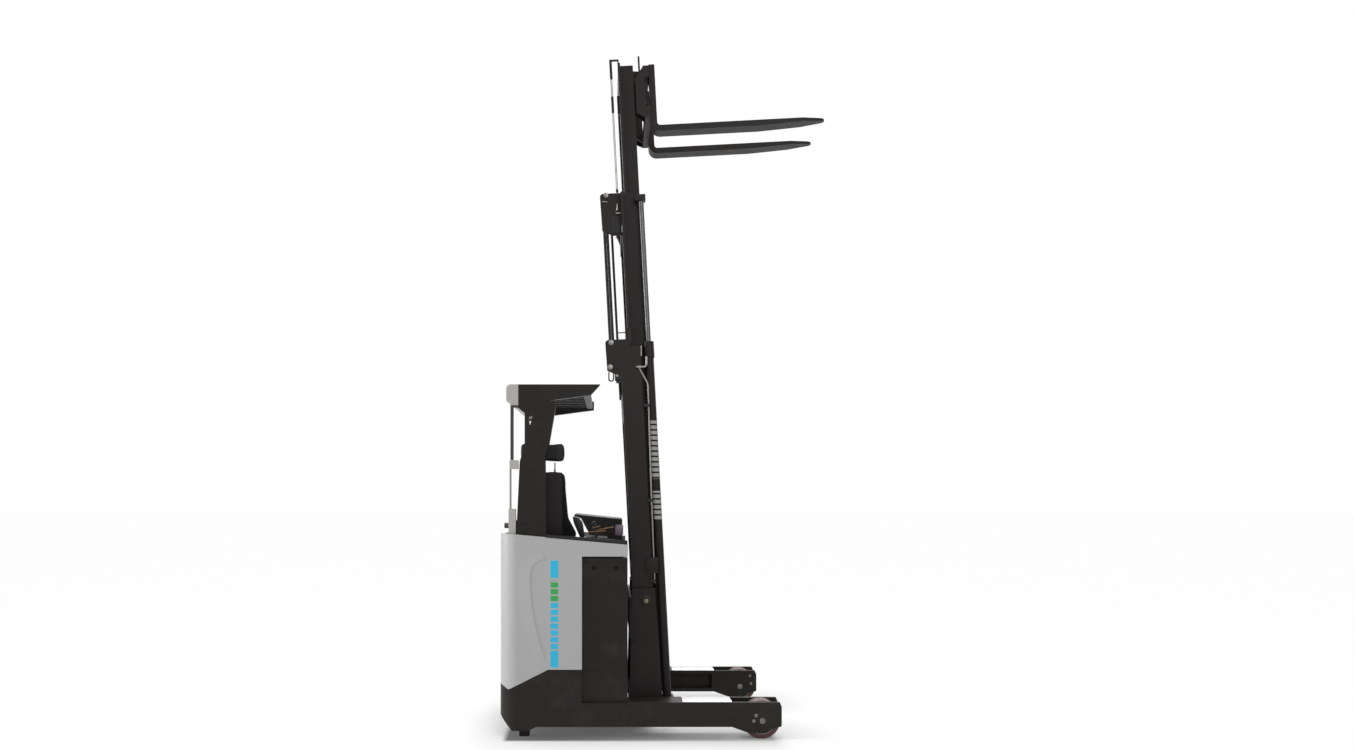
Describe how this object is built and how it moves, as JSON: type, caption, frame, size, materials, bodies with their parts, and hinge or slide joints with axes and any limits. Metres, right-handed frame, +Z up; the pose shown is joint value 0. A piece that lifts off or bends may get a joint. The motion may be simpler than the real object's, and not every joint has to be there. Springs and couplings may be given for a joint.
{
  "type": "reach truck",
  "caption": "Electric reach truck with a sideways seat, overhead guard, battery, load legs and a telescopic mast that slides forward, tilts and carries forks.",
  "frame": {"origin": "centre of the bounding box on the floor, with the mast as in the picture", "axes": "+X forwards to the fork tips, +Y to the truck's left, +Z up"},
  "size_m": [2.1914, 1.27, 4.5659],
  "materials": {
    "black_paint": "satin black paint",
    "grey_panel": "silver grey paint with a cyan stripe",
    "battery_case": "worn dull black paint",
    "wheel_tyre": "red-brown polyurethane",
    "floor_rubber": "ribbed mat",
    "hose_rubber": "smooth hydraulic hose",
    "steel": "plain steel",
    "chrome_rod": "polished rods and chains",
    "fork_steel": "black paint worn on the blades",
    "black_plastic": "grained moulding",
    "seat_fabric": "black vinyl and cloth"
  },
  "bodies": {
    "chassis": {"chassis_frame": "black_paint", "leg_left": "black_paint", "leg_right": "black_paint", "load_axle_left": "steel", "load_axle_right": "steel", "drive_motor": "black_paint", "battery": "battery_case", "panel_left": "grey_panel", "panel_right": "grey_panel", "rear_cover": "grey_panel", "console": "black_plastic", "control_levers": "black_plastic", "steering_pod": "black_plastic", "steering_wheel": "black_plastic", "floor_plate": "floor_rubber", "seat_box": "black_plastic", "seat_frame": "steel", "seat_cushion": "seat_fabric", "seat_back": "seat_fabric", "headrest": "seat_fabric", "guard_pillar": "black_paint", "guard_roof": "black_paint", "guard_rear_frame": "grey_panel", "reach_barrel": "black_paint"},
    "load_wheel_left": {"load_tyre_left": "wheel_tyre", "load_hub_left": "steel"},
    "load_wheel_right": {"load_tyre_right": "wheel_tyre", "load_hub_right": "steel"},
    "drive_turret": {"drive_turret": "black_paint"},
    "drive_wheel": {"drive_tyre": "wheel_tyre", "drive_hub": "steel"},
    "mast_carriage": {"reach_frame": "black_paint", "reach_rod": "chrome_rod"},
    "outer_stage": {"outer_mast": "black_paint", "lift_barrel_left": "black_paint", "lift_barrel_right": "black_paint"},
    "tilt_barrels": {"tilt_barrels": "black_paint"},
    "tilt_rods": {"tilt_rod_left": "chrome_rod", "tilt_rod_right": "chrome_rod"},
    "middle_stage": {"mid_mast": "black_paint", "mast_hoses": "hose_rubber", "lift_rod_left": "chrome_rod", "lift_rod_right": "chrome_rod"},
    "inner_stage": {"inner_mast": "black_paint", "free_lift_barrel": "black_paint"},
    "chain_head": {"free_lift_rod": "chrome_rod"},
    "fork_carriage": {"fork_carriage": "black_paint", "fork_left": "fork_steel", "fork_right": "fork_steel"}
  },
  "joints": [
    {"name": "load_wheel_left_spin", "type": "hinge", "parent": "chassis", "child": "load_wheel_left", "pos_m": [0.6072, 0.5475, 0.125], "axis": [0, 1, 0], "continuous": true},
    {"name": "load_wheel_right_spin", "type": "hinge", "parent": "chassis", "child": "load_wheel_right", "pos_m": [0.6072, -0.5475, 0.125], "axis": [0, 1, 0], "continuous": true},
    {"name": "steering", "type": "hinge", "parent": "chassis", "child": "drive_turret", "pos_m": [-0.7658, -0.2, 0.17], "axis": [0, 0, 1], "range_deg": [-90, 90]},
    {"name": "drive_wheel_spin", "type": "hinge", "parent": "drive_turret", "child": "drive_wheel", "pos_m": [-0.7658, -0.2, 0.17], "axis": [0, 1, 0], "continuous": true},
    {"name": "reach", "type": "slide", "parent": "chassis", "child": "mast_carriage", "axis": [1, 0, 0], "range_m": [0, 0.48]},
    {"name": "mast_tilt", "type": "hinge", "parent": "mast_carriage", "child": "outer_stage", "pos_m": [-0.1368, 0, 0.878], "axis": [0, 1, 0], "range_deg": [-1, 5]},
    {"name": "tilt_barrel_swing", "type": "hinge", "parent": "mast_carriage", "child": "tilt_barrels", "pos_m": [-0.1838, 0, 0.155], "axis": [0, 1, 0], "range_deg": [-0.86, 4.26]},
    {"name": "tilt_rod_slide", "type": "slide", "parent": "tilt_barrels", "child": "tilt_rods", "axis": [1, 0, 0], "range_m": [-0.0634, 0.0129]},
    {"name": "mast_lift", "type": "slide", "parent": "outer_stage", "child": "middle_stage", "axis": [-0.0523, 0, 0.9986], "range_m": [-0.94, 0.62]},
    {"name": "inner_lift", "type": "slide", "parent": "middle_stage", "child": "inner_stage", "axis": [-0.0523, 0, 0.9986], "range_m": [-0.94, 0.62]},
    {"name": "free_lift", "type": "slide", "parent": "inner_stage", "child": "fork_carriage", "axis": [-0.0523, 0, 0.9986], "range_m": [-2.128, 0]},
    {"name": "chain_head_lift", "type": "slide", "parent": "inner_stage", "child": "chain_head", "axis": [-0.0523, 0, 0.9986], "range_m": [-1.064, 0]}
  ],
  "couplings": [
    {"joint": "tilt_barrel_swing", "follows": "mast_tilt", "ratio": 0.85},
    {"joint": "tilt_rod_slide", "follows": "mast_tilt", "m_per_rad": -0.7235},
    {"joint": "inner_lift", "follows": "mast_lift", "ratio": 1},
    {"joint": "chain_head_lift", "follows": "free_lift", "ratio": 0.5}
  ]
}
